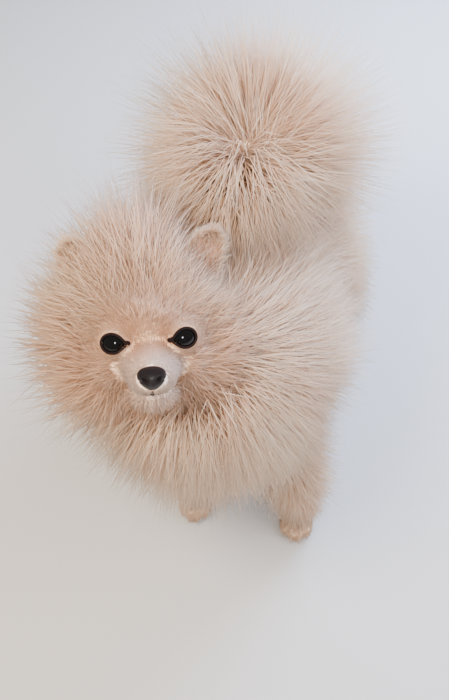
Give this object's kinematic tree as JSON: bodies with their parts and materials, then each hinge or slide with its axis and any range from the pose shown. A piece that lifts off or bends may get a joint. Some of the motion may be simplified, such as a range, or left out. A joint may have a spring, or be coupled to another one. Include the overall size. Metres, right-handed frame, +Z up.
{
  "type": "pomeranian puppy, still model",
  "caption": "Standing long-coated toy dog with its head raised, tail curled over the back and paws flat on the floor.",
  "frame": {"origin": "on the floor under the middle of the whole dog's bounding box", "axes": "+X to the dog's left, +Y towards its tail, +Z up"},
  "size_m": [0.211, 0.3406, 0.268],
  "materials": {
    "coat": "soft cream fur",
    "ear": "thin fur over pink skin",
    "eye": "wet and glossy",
    "nose": "moist pebbled skin"
  },
  "bodies": {
    "root": {"head": "coat", "torso": "coat", "tail": "coat", "foreleg_left": "coat", "foreleg_right": "coat", "hindleg_left": "coat", "hindleg_right": "coat", "ear_left": "ear", "ear_right": "ear", "eye_left": "eye", "eye_right": "eye", "nose": "nose"}
  },
  "joints": []
}
